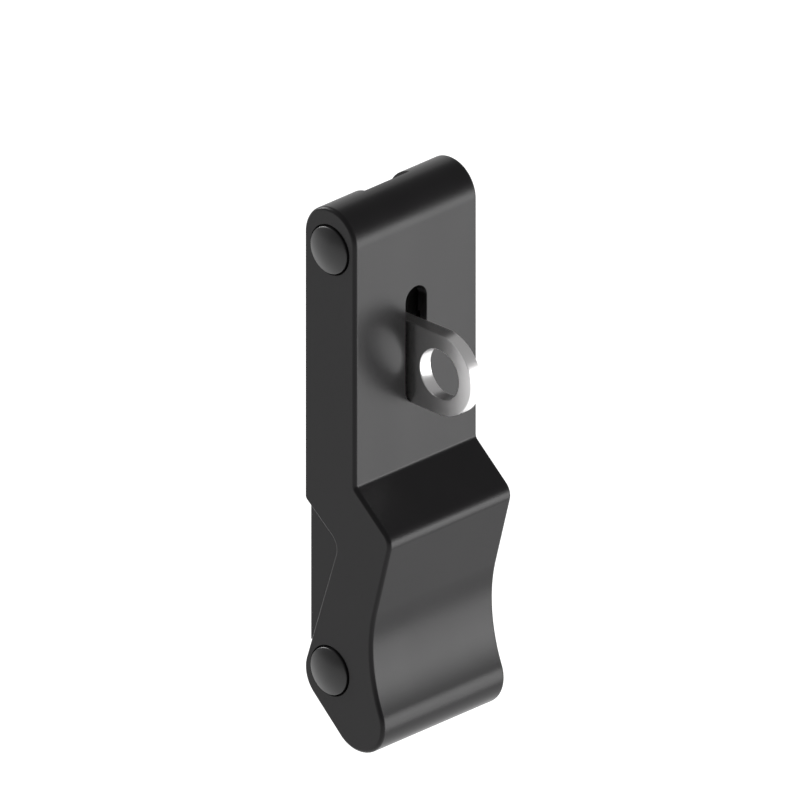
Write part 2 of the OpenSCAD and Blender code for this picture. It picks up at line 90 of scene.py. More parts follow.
def meet(a1, p1, a2, p2):
    """Crossing of two lines, each given by its normal's angle and a point."""
    n1, n2 = along(a1), along(a2)
    d = n1[0] * n2[1] - n1[1] * n2[0]
    a = n1[0] * p1[0] + n1[1] * p1[1]
    b = n2[0] * p2[0] + n2[1] * p2[1]
    return (a * n2[1] - b * n1[1]) / d, (n1[0] * b - n2[0] * a) / d


def inside(corner, a1, a2, r):
    """Centre of the fillet between two edges whose outward normals are at a1 and a2."""
    return offset(corner, (a1 + a2) / 2, -r / cos(radians((a2 - a1) / 2)))


def arc(c, r, a1, a2, steps, side=1, e1=0.0, e2=None):
    """Points of an arc; side is -1 where its centre lies outside the shape."""
    e2 = e1 if e2 is None else e2
    points = []
    for i in range(steps + 1):
        t = i / steps
        n = along(a1 + (a2 - a1) * t)
        points.append((c[0] + r * n[0], c[1] + r * n[1], side * n[0], side * n[1], e1 + (e2 - e1) * t))
    return points


def circle(c, r):
    """A whole circle, without its first point again at the end."""
    return arc(c, r, 0, 360 - 360 / CIRCLE_STEPS, CIRCLE_STEPS - 1)


def filleted(corners, edge):
    """A closed outline, counterclockwise, from corners (out, up, fillet radius)."""
    points = []
    count = len(corners)
    for i, (x, y, r) in enumerate(corners):
        before, after = corners[i - 1], corners[(i + 1) % count]
        a1 = degrees(atan2(y - before[1], x - before[0])) - 90
        a2 = degrees(atan2(after[1] - y, after[0] - x)) - 90
        turn = (a2 - a1 + 180) % 360 - 180
        side = 1 if turn > 0 else -1
        centre = inside((x, y), a1, a1 + turn, side * r)
        start = a1 if side > 0 else a1 + 180
        steps = max(2, int(abs(turn) / FILLET_STEP))
        points += arc(centre, r, start, start + turn, steps, side, edge)
    return points


def flared(depth, r, rim):
    """Profile of a bore's cutter that leaves a rounded rim at depth."""
    steps = 6
    profile = []
    for k in range(steps + 1):
        a = radians(90 * k / steps)
        profile.append((depth - rim * (1 - sin(a)), r + rim * (1 - cos(a))))
    return profile + [(depth + OVERCUT, r + rim)]


def rolled(end, r, rim, steps):
    """Profile of the quarter round between a side of radius r and a flat end."""
    turn = [along(90 * k / steps) for k in range(steps + 1)]
    return [(end - rim + rim * n[1], r - rim + rim * n[0]) for n in turn]


def both_ways(profile):
    """A profile's outer half, with its mirror image before it."""
    return [(-out, r) for out, r in profile[::-1]] + profile


# Places

PIVOT = (END_R, 0)
LINK_PIN = (END_R, PIN_GAP)
# The link hangs from the link pin and leans back, past the lower pivot
STRAP_OUT = 3.35
LINK_TILT = atan2(END_R - STRAP_OUT, PIN_GAP)


def placed(out, up, x):
    """A point of a side outline, in metres in the shared frame."""
    return Vector((x, -out - BACK_GAP, up + PIVOT_UP)) * MM


def on_link(out, up, x):
    """A point in the link's own frame, which hangs from the link pin."""
    c, s = cos(LINK_TILT), sin(LINK_TILT)
    return placed(LINK_PIN[0] + out * c + up * s, LINK_PIN[1] + up * c - out * s, x)


# Mesh building

def new_object(name, mesh):
    piece = bpy.data.objects.new(name, mesh)
    bpy.context.scene.collection.objects.link(piece)
    return piece


def skinned(name, rings):
    """A closed solid whose skin runs from one ring of points to the next."""
    mesh = bpy.data.meshes.new(name)
    bm = bmesh.new()
    loops = [[bm.verts.new(p) for p in ring] for ring in rings]
    count = len(loops[0])
    for near, far in zip(loops, loops[1:]):
        for i in range(count):
            j = (i + 1) % count
            bm.faces.new((near[i], near[j], far[j], far[i]))
    bm.faces.new(loops[0][::-1])
    bm.faces.new(loops[-1])
    bmesh.ops.remove_doubles(bm, verts=bm.verts, dist=WELD)
    bmesh.ops.recalc_face_normals(bm, faces=bm.faces)
    bm.to_mesh(mesh)
    bm.free()
    return new_object(name, mesh)


def rounded_side(name, outline, x1, x2, steps, put=placed):
    """A solid across the width whose side edges are rounded by each point's own radius."""
    turn = [90 * k / steps for k in range(steps + 1)]
    levels = [(x2, 1, a) for a in reversed(turn)] + [(x1, -1, a) for a in turn]
    rings = []
    for end, sign, a in levels:
        ring = []
        for out, up, n_out, n_up, r in outline:
            inset = r * (1 - cos(radians(a)))
            x = end - sign * r * (1 - sin(radians(a)))
            ring.append(put(out - inset * n_out, up - inset * n_up, x))
        rings.append(ring)
    return skinned(name, rings)


def prism(name, points, x1, x2, put=placed):
    return rounded_side(name, [(p[0], p[1], 0, 0, 0) for p in points], x1, x2, 1, put)


def block(name, out1, up1, out2, up2, x1, x2, put=placed):
    return prism(name, [(out1, up1), (out2, up1), (out2, up2), (out1, up2)], x1, x2, put)


def lathe(name, centre, profile, axis="X", mirror=False, steps=96, put=placed):
    """A turned solid about an axis through centre (x, out, up)."""
    sign = -1 if mirror else 1
    rings = []
    for reach, r in profile:
        ring = []
        for i in range(steps):
            n = along(360 * i / steps)
            if axis == "X":
                p = put(centre[1] + r * n[0], centre[2] + r * n[1], sign * (centre[0] + reach))
            else:
                p = put(centre[1] + reach, centre[2] + r * n[1], sign * centre[0] + r * n[0])
            ring.append(p)
        rings.append(ring)
    return skinned(name, rings)


def slot_cutter(name, low, high, width, profile, put=placed):
    """A round-ended bar that points outwards; its profile adds to the half width."""
    rings = []
    for out, extra in profile:
        ring = []
        r = width / 2 + extra
        for up, start in ((high - width / 2, 0), (low + width / 2, 180)):
            for i in range(SLOT_END_STEPS + 1):
                n = along(start + 180 * i / SLOT_END_STEPS)
                ring.append(put(out, up + r * n[1], r * n[0]))
        rings.append(ring)
    return skinned(name, rings)


def bake(piece):
    """Turns the object's modifiers into plain mesh."""
    graph = bpy.context.evaluated_depsgraph_get()
    graph.update()
    mesh = bpy.data.meshes.new_from_object(piece.evaluated_get(graph))
    piece.modifiers.clear()
    piece.data = mesh


def join(piece, others, operation):
    """Boolean of one piece with others, which are used up."""
    for other in others:
        modifier = piece.modifiers.new("join", "BOOLEAN")
        modifier.operation = operation
        modifier.solver = "EXACT"
        modifier.object = other
        bake(piece)
        bpy.data.objects.remove(other)
    return piece


def cut(piece, *others):
    return join(piece, others, "DIFFERENCE")


def shaded(piece):
    """Smooth faces between sharp edges, with wide flats kept flat."""
    mesh = piece.data
    mesh.polygons.foreach_set("use_smooth", [True] * len(mesh.polygons))
    mesh.set_sharp_from_angle(angle=radians(SHARP_ANGLE))
    flats = piece.modifiers.new("flats", "WEIGHTED_NORMAL")
    flats.keep_sharp = True
    flats.weight = 100
    return piece


def finish(piece, node, body, mat):
    """Puts a detailed piece in the place of a CAD node."""
    piece.data.materials.clear()
    piece.data.materials.append(mat)
    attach(piece, body)
    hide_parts(node)
    if not piece.modifiers:
        shaded(piece)


# Materials. No roughness goes below 0.28: where one passes 0.27, the denoised picture shows its contour.

NOISE_LOW, NOISE_HIGH = 0.3, 0.7
GLOSS_SPREAD = 0.02
PLASTIC_SPECULAR = 0.2
RUBBER_SPECULAR = 0.3
PIN_SPECULAR = 0.46
STEEL_METALLIC = 0.88
STEEL_CLOUD = 0.96


def material(name):
    mat = bpy.data.materials.new(name)
    mat.use_nodes = True
    nodes, links = mat.node_tree.nodes, mat.node_tree.links
    shader = nodes["Principled BSDF"]
    coords = nodes.new("ShaderNodeTexCoord").outputs["Object"]
    return mat, nodes, links, shader, coords


def noise(nodes, links, coords, scale, detail, stretch=(1, 1, 1)):
    mapping = nodes.new("ShaderNodeMapping")
    mapping.inputs["Scale"].default_value = stretch
    links.new(coords, mapping.inputs["Vector"])
    texture = nodes.new("ShaderNodeTexNoise")
    texture.inputs["Scale"].default_value = scale
    texture.inputs["Detail"].default_value = detail
    links.new(mapping.outputs["Vector"], texture.inputs["Vector"])
    return texture.outputs["Fac"]


def between(nodes, links, fac, low, high):
    """A noise spread over a range of values."""
    ramp = nodes.new("ShaderNodeMapRange")
    ramp.inputs["From Min"].default_value = NOISE_LOW
    ramp.inputs["From Max"].default_value = NOISE_HIGH
    ramp.inputs["To Min"].default_value = low
    ramp.inputs["To Max"].default_value = high
    links.new(fac, ramp.inputs["Value"])
    return ramp.outputs["Result"]


def tinted(nodes, links, fac, dark, light):
    """A noise spread over a range of colours."""
    ramp = nodes.new("ShaderNodeValToRGB")
    ramp.color_ramp.elements[0].position = NOISE_LOW
    ramp.color_ramp.elements[0].color = (*dark, 1)
    ramp.color_ramp.elements[1].position = NOISE_HIGH
    ramp.color_ramp.elements[1].color = (*light, 1)
    links.new(fac, ramp.inputs["Fac"])
    return ramp.outputs["Color"]


def bumped(nodes, links, shader, height, distance, strength):
    bump = nodes.new("ShaderNodeBump")
    bump.inputs["Strength"].default_value = strength
    bump.inputs["Distance"].default_value = distance
    links.new(height, bump.inputs["Height"])
    links.new(bump.outputs["Normal"], shader.inputs["Normal"])


def moulded(name, dark, light, rough, grain):
    """Moulded plastic: fine spark-eroded grain, faint flow marks and uneven gloss."""
    mat, nodes, links, shader, coords = material(name)
    fine = noise(nodes, links, coords, scale=5200, detail=3)
    flow = noise(nodes, links, coords, scale=90, detail=4, stretch=(1, 1, 0.35))
    links.new(tinted(nodes, links, flow, dark, light), shader.inputs["Base Color"])
    links.new(between(nodes, links, flow, rough - GLOSS_SPREAD, rough + GLOSS_SPREAD),
              shader.inputs["Roughness"])
    shader.inputs["Specular IOR Level"].default_value = PLASTIC_SPECULAR
    bumped(nodes, links, shader, fine, distance=grain, strength=0.35)
    return mat


def rubber(name, dark, light):
    """Matt rubber with a slightly dusty bloom."""
    mat, nodes, links, shader, coords = material(name)
    bloom = noise(nodes, links, coords, scale=260, detail=6)
    fine = noise(nodes, links, coords, scale=3400, detail=3)
    links.new(tinted(nodes, links, bloom, dark, light), shader.inputs["Base Color"])
    links.new(between(nodes, links, bloom, low=0.68, high=0.8), shader.inputs["Roughness"])
    shader.inputs["Specular IOR Level"].default_value = RUBBER_SPECULAR
    shader.inputs["Sheen Weight"].default_value = 0.08
    bumped(nodes, links, shader, fine, distance=0.00003, strength=0.4)
    return mat


def steel(name, stretch, rough, tone):
    """Satin steel with fine lines along one direction."""
    mat, nodes, links, shader, coords = material(name)
    lines = noise(nodes, links, coords, scale=2600, detail=3, stretch=stretch)
    cloud = noise(nodes, links, coords, scale=240, detail=3)
    dark = tuple(STEEL_CLOUD * c for c in tone)
    links.new(tinted(nodes, links, cloud, dark, tone), shader.inputs["Base Color"])
    links.new(between(nodes, links, lines, rough - GLOSS_SPREAD, rough + GLOSS_SPREAD),
              shader.inputs["Roughness"])
    shader.inputs["Metallic"].default_value = STEEL_METALLIC
    bumped(nodes, links, shader, lines, distance=0.0000015, strength=0.1)
    return mat


def coated(name, dark, light):
    """Black coating on the pins' steel, which shines more than the plastic beside it."""
    mat, nodes, links, shader, coords = material(name)
    peel = noise(nodes, links, coords, scale=1500, detail=3)
    tone = noise(nodes, links, coords, scale=420, detail=4)
    links.new(tinted(nodes, links, tone, dark, light), shader.inputs["Base Color"])
    links.new(between(nodes, links, tone, low=0.30, high=0.34), shader.inputs["Roughness"])
    shader.inputs["Specular IOR Level"].default_value = PIN_SPECULAR
    bumped(nodes, links, shader, peel, distance=0.00001, strength=0.25)
    return mat


black_plastic = moulded("lever_moulding", (0.0138, 0.0129, 0.0139), (0.0160, 0.0150, 0.0161),
                        rough=0.30, grain=0.00002)
base_plastic = moulded("base_moulding", (0.0150, 0.0143, 0.0153), (0.0172, 0.0164, 0.0175),
                       rough=0.32, grain=0.00003)
bush_plastic = moulded("bush_moulding", (0.52, 0.51, 0.47), (0.58, 0.57, 0.53), rough=0.4, grain=0.00001)
strap_rubber = rubber("strap_rubber", (0.012, 0.012, 0.012), (0.021, 0.020, 0.019))
brushed_steel = steel("satin_steel", (1, 0.25, 0.25), rough=0.30, tone=(0.86, 0.85, 0.85))
rolled_steel = steel("rolled_steel", (0.1, 1, 1), rough=0.36, tone=(0.52, 0.52, 0.53))
rivet_steel = steel("rivet_steel", (1, 1, 1), rough=0.42, tone=(0.34, 0.34, 0.35))
pin_coating = coated("pin_coating", (0.014, 0.0136, 0.0142), (0.017, 0.0165, 0.0172))

# Lever: the outline's places, slopes and radii

SKIN_T = 2.1
CHEEK_T = 2.2
CREASE_UP = 35.4
CREASE_R = 1
LEDGE_SLOPE = 40.4
GRIP_LEAN = 14.9
NOSE_R = 2.9
WAIST_OUT = 15.53
WAIST_UP = 7.05
HOLLOW_R = 27.4
LIP_R = 6
LIP = (12.3, -6.88)
NOTCH_TOP = 29.9
NOTCH_DEPTH = 7.8
NOTCH_SLOPE = 38.3
NOTCH_R = 3
CORNER_R = 1
FRONT_EDGE_R = 0.7
REAR_EDGE_R = 0.35
UNDER_EDGE_R = 0.5
END_RISE = 1.7
END_DROP = 1.15
TOP_ROUND = (END_R, PIN_GAP + END_RISE)
LOW_ROUND = (END_R, -END_DROP)
# An arc that carries on another one starts a step further on, and the outline closes below the lip
ARC_STEP = 2
HOLLOW_STEP = 0.6
SEAM_ANGLE = -78

# The front's arcs, which the outside and the hollow inside share
LEDGE_ANGLE = 90 - LEDGE_SLOPE
CREASE = (SLAB_T, CREASE_UP)
CREASE_CENTRE = inside(CREASE, 0, LEDGE_ANGLE, -CREASE_R)
HOLLOW_HIGH = (WAIST_OUT + HOLLOW_R, WAIST_UP)
GRIP_START = offset(HOLLOW_HIGH, -GRIP_LEAN, -HOLLOW_R)
NOSE = meet(-GRIP_LEAN, GRIP_START, LEDGE_ANGLE, CREASE)
NOSE_CENTRE = inside(NOSE, -GRIP_LEAN, LEDGE_ANGLE, NOSE_R)
# The hollow's lower arc leaves the waist upright and touches the lip
HOLLOW_LOW_R = ((WAIST_OUT - LIP[0]) ** 2 + (WAIST_UP - LIP[1]) ** 2 - LIP_R ** 2) / (
    2 * (LIP_R - WAIST_OUT + LIP[0]))
HOLLOW_LOW = (WAIST_OUT + HOLLOW_LOW_R, WAIST_UP)
LIP_ANGLE = degrees(atan2(WAIST_UP - LIP[1], HOLLOW_LOW[0] - LIP[0]))

# Its inside, its slot and its recesses
LINK_EYE_R = 5.2
BASE_TOP = PIN_GAP - LINK_EYE_R
SKIN_OUT = SLAB_T - SKIN_T
WALL_OUT = 8.4
WALL_STEP = 33
STEP_OUT = WALL_OUT + SWING_GAP
CAVITY_X = HALF_W - CHEEK_T
CAVITY_LOW, CAVITY_HIGH = 8, BASE_TOP + 0.4
CAVITY_FOOT_ANGLE = 176
CAVITY_PIVOT_ANGLE = 62
KNUCKLE_ROOM_R = END_R + SWING_GAP
EAR_X = HALF_W - 4
STRAP_X = 5
THROAT_X = STRAP_X + 0.85
THROAT_SKIN = 2
THROAT_OUT = 9.3
THROAT_LOW = -20
EYE_GAP_X = STRAP_X + 0.25
EYE_ROOM_R = 4.45
EYE_BACK_OUT = END_R - 1
GROOVE_OUT = SLAB_T - 1.5
GROOVE_LOW, GROOVE_HIGH = 34, 62
GRIP_RIB_X, GRIP_RIB_T = EAR_X - 2.4, 1.2
GRIP_RIB_SINK = 1
GRIP_RIB_BACK = STEP_OUT + 0.2
GRIP_RIB_REACH = 30
SLOT_W = 4.9
SLOT_LOW, SLOT_HIGH = 46.8, 67.85
SLOT_RIM = 0.15
HEAD_D = 8.45
HEAD_IN = HALF_W - 1.2
RECESS_D = 9.0
RECESS_IN = HEAD_IN - 0.1
RECESS_RIM = 0.06


def lever_outline():
    """The lever's side, counterclockwise from below the lip."""
    run = (LIP[0] - LOW_ROUND[0], LIP[1] - LOW_ROUND[1])
    under_angle = degrees(atan2(run[1], run[0]) - acos((END_R - LIP_R) / hypot(*run)))
    notch_top_angle = 270 - NOTCH_SLOPE
    root = (NOTCH_DEPTH, NOTCH_TOP - NOTCH_DEPTH * tan(radians(NOTCH_SLOPE)))
    root_run = (root[0] - LOW_ROUND[0], root[1] - LOW_ROUND[1])
    notch_low_angle = degrees(atan2(root_run[1], root_run[0]) + acos(END_R / hypot(*root_run)))
    corner_centre = inside((0, NOTCH_TOP), 180, notch_top_angle, CORNER_R)
    root_centre = inside(root, notch_low_angle, notch_top_angle, -NOTCH_R)
    e, f, g = FRONT_EDGE_R, REAR_EDGE_R, UNDER_EDGE_R
    return (
        arc(LIP, LIP_R, SEAM_ANGLE + ARC_STEP, LIP_ANGLE, 36, 1, e)
        + arc(HOLLOW_LOW, HOLLOW_LOW_R, 180 + LIP_ANGLE, 180, 24, -1, e)
        + arc(HOLLOW_HIGH, HOLLOW_R, 180 - HOLLOW_STEP, 180 - GRIP_LEAN, 20, -1, e)
        + arc(NOSE_CENTRE, NOSE_R, -GRIP_LEAN, LEDGE_ANGLE, 24, 1, e)
        + arc(CREASE_CENTRE, CREASE_R, 180 + LEDGE_ANGLE, 180, 12, -1, e)
        + arc(TOP_ROUND, END_R, 0, 90, 32, 1, e)
        + arc(TOP_ROUND, END_R, 90 + ARC_STEP, 180, 32, 1, e, f)
        + arc(corner_centre, CORNER_R, 180, notch_top_angle, 10, 1, f)
        + arc(root_centre, NOTCH_R, notch_top_angle - 180, notch_low_angle - 180, 20, -1, f)
        + arc(LOW_ROUND, END_R, notch_low_angle, 360 + under_angle, 32, 1, f, g)
        + arc(LIP, LIP_R, under_angle + ARC_STEP, SEAM_ANGLE - ARC_STEP, 14, 1, g, e)
    )


def cavity_outline():
    """The room between the lever's cheeks, above the lower pivot."""
    return (
        arc(HOLLOW_HIGH, HOLLOW_R + SKIN_T, CAVITY_FOOT_ANGLE, 180 - GRIP_LEAN, 10)
        + arc(NOSE_CENTRE, NOSE_R - SKIN_T, -GRIP_LEAN, LEDGE_ANGLE, 8)
        + arc(CREASE_CENTRE, CREASE_R + SKIN_T, 180 + LEDGE_ANGLE, 180, 8)
        + [(SKIN_OUT, CAVITY_HIGH), (-OVERCUT, CAVITY_HIGH), (-OVERCUT, 0)]
        + arc(PIVOT, END_R, 180, CAVITY_PIVOT_ANGLE, 24)
        + [(STEP_OUT, CAVITY_LOW)]
    )


def throat_outline():
    """The link's way down through the lip."""
    front = arc(HOLLOW_LOW, HOLLOW_LOW_R + THROAT_SKIN, 180, 180 + LIP_ANGLE, 12)
    return (
        [(-OVERCUT, CAVITY_LOW + OVERCUT), (-OVERCUT, THROAT_LOW),
         (THROAT_OUT, THROAT_LOW), (THROAT_OUT, LIP[1] - LIP_R + THROAT_SKIN)]
        + arc(LIP, LIP_R - THROAT_SKIN, -90, LIP_ANGLE, 16)
        + front[::-1]
        + [(front[0][0], CAVITY_LOW + OVERCUT)]
    )


def make_lever():
    outline = lever_outline()
    lever = rounded_side("lever_shell", outline, -HALF_W, HALF_W, 8)
    cut(lever, prism("cavity", cavity_outline(), -CAVITY_X, CAVITY_X))
    # Two ribs stiffen the hollow grip
    for x in (GRIP_RIB_X, -GRIP_RIB_X - GRIP_RIB_T):
        rib = prism("grip_rib", [(p[0] - GRIP_RIB_SINK, p[1]) for p in outline], x, x + GRIP_RIB_T)
        room = block("rib_room", GRIP_RIB_BACK, CAVITY_LOW - OVERCUT, GRIP_RIB_REACH, WALL_STEP,
                     x - OVERCUT, x + GRIP_RIB_T + OVERCUT)
        join(lever, [join(rib, [room], "INTERSECT")], "UNION")
    cut(
        lever,
        prism("knuckle_room", circle(PIVOT, KNUCKLE_ROOM_R), -EAR_X, EAR_X),
        prism("round_room", circle(LOW_ROUND, KNUCKLE_ROOM_R), -EAR_X, EAR_X),
        block("knuckle_way", -OVERCUT, 0, STEP_OUT, CAVITY_LOW + OVERCUT, -EAR_X, EAR_X),
        prism("throat", throat_outline(), -THROAT_X, THROAT_X),
        prism("eye_room", circle(LINK_PIN, EYE_ROOM_R), -EYE_GAP_X, EYE_GAP_X),
        block("eye_back", -OVERCUT, BASE_TOP - OVERCUT, EYE_BACK_OUT, TOP_ROUND[1] + END_R + OVERCUT,
              -EYE_GAP_X, EYE_GAP_X),
        block("eye_way", -OVERCUT, BASE_TOP - OVERCUT, SKIN_OUT, PIN_GAP, -EYE_GAP_X, EYE_GAP_X),
        block("groove", SKIN_OUT - OVERCUT, GROOVE_LOW, GROOVE_OUT, GROOVE_HIGH, -THROAT_X, THROAT_X),
    )
    slot = [(SKIN_OUT - OVERCUT, 0)] + flared(SLAB_T, 0, SLOT_RIM)
    cut(lever, slot_cutter("slot", SLOT_LOW, SLOT_HIGH, SLOT_W, slot))
    recess = [(RECESS_IN, RECESS_D / 2)] + flared(HALF_W, RECESS_D / 2, RECESS_RIM)
    for at in (PIVOT, LINK_PIN):
        for mirror in (False, True):
            cut(lever, lathe("recess", (0, *at), recess, mirror=mirror))
    finish(shaded(lever), "lever", "lever_body", black_plastic)


# Pins with domed heads

DOME_RISE = 1.25
HEAD_PROUD = 0.36
HEAD_EDGE_R = 0.25
HEAD_EDGE_STEPS, DOME_STEPS = 8, 25
PIVOT_PIN_R, PIVOT_PIN_END = 2.5, STRAP_X + 0.8
LINK_PIN_R, LINK_PIN_END = 2, -HEAD_IN - 0.6
CAP_SHAFT_R, CAP_SHAFT_END = 2.1, HEAD_IN - 0.01


def head_profile(shaft_r, shaft_end):
    """A shaft from shaft_end out to a head whose dome meets its side in a small round."""
    rise = DOME_RISE - HEAD_PROUD
    head_r = HEAD_D / 2
    dome_r = (head_r ** 2 + rise ** 2) / (2 * rise)
    dome_at = HALF_W + DOME_RISE - dome_r
    profile = [(shaft_end, shaft_r), (HEAD_IN, shaft_r), (HEAD_IN, head_r)]
    # The small round touches the side at head_r and the dome from within
    edge_r = head_r - HEAD_EDGE_R
    edge_at = dome_at + sqrt((dome_r - HEAD_EDGE_R) ** 2 - edge_r ** 2)
    end = degrees(atan2(edge_r, edge_at - dome_at))
    for k in range(HEAD_EDGE_STEPS + 1):
        n = along(90 + (end - 90) * k / HEAD_EDGE_STEPS)
        profile.append((edge_at + HEAD_EDGE_R * n[0], edge_r + HEAD_EDGE_R * n[1]))
    for k in range(1, DOME_STEPS):
        n = along(end * (1 - k / DOME_STEPS))
        profile.append((dome_at + dome_r * n[0], dome_r * n[1]))
    return profile


def make_pins():
    for side, mirror in (("left", True), ("right", False)):
        profile = head_profile(PIVOT_PIN_R, PIVOT_PIN_END)
        pin = lathe(f"pivot_stub_{side}", (0, *PIVOT), profile, mirror=mirror)
        finish(pin, f"pivot_pin_{side}", "base_body", pin_coating)
    pin = lathe("link_pin_shaft", (0, *LINK_PIN), head_profile(LINK_PIN_R, LINK_PIN_END), mirror=True)
    finish(pin, "link_pin", "lever_body", pin_coating)
    cap = lathe("link_pin_end_cap", (0, *LINK_PIN), head_profile(CAP_SHAFT_R, CAP_SHAFT_END))
    finish(cap, "link_pin_cap", "lever_body", pin_coating)


# Padlock staple

STAPLE_T = 2.5
STAPLE_R = 7.4
STAPLE_EDGE = 0.14
EYE_R = 4.5
EYE = (18.4, 54.25)
FOOT_T = 1.5
FOOT_OUT = FOOT_T - BACK_GAP


def make_staple():
    low, high = EYE[1] - STAPLE_R, EYE[1] + STAPLE_R
    outline = (
        arc(EYE, STAPLE_R, -90, 90, 64, 1, STAPLE_EDGE)
        + [(FOOT_OUT, high, 0, 1, STAPLE_EDGE), (FOOT_OUT, low, 0, -1, STAPLE_EDGE)]
    )
    staple = rounded_side("staple_plate", outline, -STAPLE_T / 2, STAPLE_T / 2, 4)
    hole = both_ways(flared(STAPLE_T / 2, EYE_R, STAPLE_EDGE))
    cut(staple, lathe("eye_cutter", (0, *EYE), hole, steps=128))
    finish(shaded(staple), "padlock_staple", "base_body", brushed_steel)


# Draw link: rubber strap, hook and rivets, all in the link's own frame

STRAP_T = 3
STRAP_END = 78.8
STRAP_EDGE = 0.45
STRAP_SEAM_ANGLE = -80
EYE_FRONT_R = 4.15
EYE_STEP = 1.3
EYE_BORE_REACH = 9
SLEEVE_R = 2.8
WINDOW_W = 4.6
WINDOW_LOW, WINDOW_HIGH = -32.4, -12.4
WINDOW_RIM = 0.4
PANEL_W = 5.4
PANEL_LOW, PANEL_HIGH = -56.5, -36.5
PANEL_DEPTH = 0.3
PANEL_DRAFT, PANEL_FLARE = 0.2, 0.3
HOOK_T = 1.5
HOOK_REACH = 86.4
HOOK_EDGE = 0.2
SHANK_X = STRAP_X - 1.8
SHANK_START = 61.5
BLADE_X = STRAP_X - 0.8
BLADE_TOP_R = 0.05
NOSE_REACH = 2.45
NOSE_TIP_R = 0.35
BEND_R, BEND_INNER_R = HOOK_T - 0.01, 0.25
HOOK_RIVETS = (63.6, 71.4)
RIVET_R, RIVET_HEAD_R, RIVET_HEAD_T = 1.1, 2, 0.5
RIVET_EDGE_R = 0.4
RIVET_STEPS = 48


def rivet_bore(piece, name, reach):
    """Cuts the two rivets' holes, as far as reach to each side of the link's middle."""
    bore = [(-reach, RIVET_R + FIT_GAP), (reach, RIVET_R + FIT_GAP)]
    for down in HOOK_RIVETS:
        cut(piece, lathe(name, (0, 0, -down), bore, "Y", steps=RIVET_STEPS, put=on_link))


def make_strap():
    half = STRAP_T / 2
    front = degrees(acos(half / EYE_FRONT_R))
    step = degrees(acos(-EYE_STEP / EYE_FRONT_R))
    back = degrees(acos(-EYE_STEP / LINK_EYE_R))
    rear = 180 + degrees(acos(half / LINK_EYE_R))
    e = STRAP_EDGE
    outline = (
        arc((half - e, e - STRAP_END), e, STRAP_SEAM_ANGLE, 0, 6, 1, e)
        + arc((0, 0), EYE_FRONT_R, -front, step, 56, 1, e)
        + arc((0, 0), LINK_EYE_R, back, rear, 48, 1, e)
        + arc((e - half, e - STRAP_END), e, 180, 270, 6, 1, e)
    )
    strap = rounded_side("rubber_strap", outline, -STRAP_X, STRAP_X, 5, on_link)
    window = both_ways(flared(half, 0, WINDOW_RIM))
    eye = [(-EYE_BORE_REACH, SLEEVE_R + FIT_GAP), (EYE_BORE_REACH, SLEEVE_R + FIT_GAP)]
    cut(
        strap,
        slot_cutter("window", WINDOW_LOW, WINDOW_HIGH, WINDOW_W, window, on_link),
        lathe("eye", (0, 0, 0), eye, put=on_link),
        block("pocket", -HOOK_T / 2 - FIT_GAP, -STRAP_END - OVERCUT, HOOK_T / 2 + FIT_GAP,
              FIT_GAP - SHANK_START, -SHANK_X - FIT_GAP, SHANK_X + FIT_GAP, on_link),
    )
    # Shallow moulded panels between the window and the hook, on both faces
    for sign in (-1, 1):
        panel = [(sign * (half - PANEL_DEPTH), -PANEL_DRAFT), (sign * half, 0),
                 (sign * (half + OVERCUT), PANEL_FLARE)]
        cut(strap, slot_cutter("panel", PANEL_LOW, PANEL_HIGH, PANEL_W, panel, on_link))
    rivet_bore(strap, "rivet_bore", half + OVERCUT)
    finish(shaded(strap), "draw_link", "link_body", strap_rubber)


def make_hook():
    half = HOOK_T / 2
    blade_top = -STRAP_END - FIT_GAP
    corners = [
        (-NOSE_REACH, -HOOK_REACH, NOSE_TIP_R), (half, -HOOK_REACH, BEND_R),
        (half, blade_top, BLADE_TOP_R), (-half, blade_top, BLADE_TOP_R),
        (-half, HOOK_T - HOOK_REACH, BEND_INNER_R), (-NOSE_REACH, HOOK_T - HOOK_REACH, NOSE_TIP_R),
    ]
    hook = rounded_side("hook_blade", filleted(corners, HOOK_EDGE), -BLADE_X, BLADE_X, 4, on_link)
    shank = block("shank", -half, -STRAP_END - OVERCUT, half, -SHANK_START, -SHANK_X, SHANK_X, on_link)
    join(hook, [shank], "UNION")
    rivet_bore(hook, "hook_bore", OVERCUT)
    finish(shaded(hook), "link_hook", "link_body", rolled_steel)


def make_rivets():
    """Two rivets, each a shank and two low heads with rounded edges."""
    face = STRAP_T / 2
    head = rolled(face + RIVET_HEAD_T, RIVET_HEAD_R, RIVET_EDGE_R, 6)
    profile = both_ways([(face + FIT_GAP, RIVET_R), (face + FIT_GAP, RIVET_HEAD_R)] + head
                        + [(face + RIVET_HEAD_T, POLE_R)])
    rivets = [lathe(f"hook_rivet_{i}", (0, 0, -down), profile, "Y", steps=RIVET_STEPS, put=on_link)
              for i, down in enumerate(HOOK_RIVETS)]
    finish(join(rivets[0], rivets[1:], "UNION"), "hook_rivets", "link_body", rolled_steel)


# Bumpers: low rubber pads with a rolled edge and a slight hollow

BUMPER_X = 7.8
BUMPER_UP = BASE_TOP - 3.7
BUMPER_R = 2.425
BUMPER_IN, BUMPER_OUT = 5.62, 9.6
BUMPER_BEVEL, BUMPER_RIM = 0.15, 0.7
STEM_R, STEM_IN = 1.205, 3.62
# Depth below the face, and radius
BUMPER_HOLLOW = ((0.05, 1.2), (0.2, 0.8), (0.25, POLE_R))


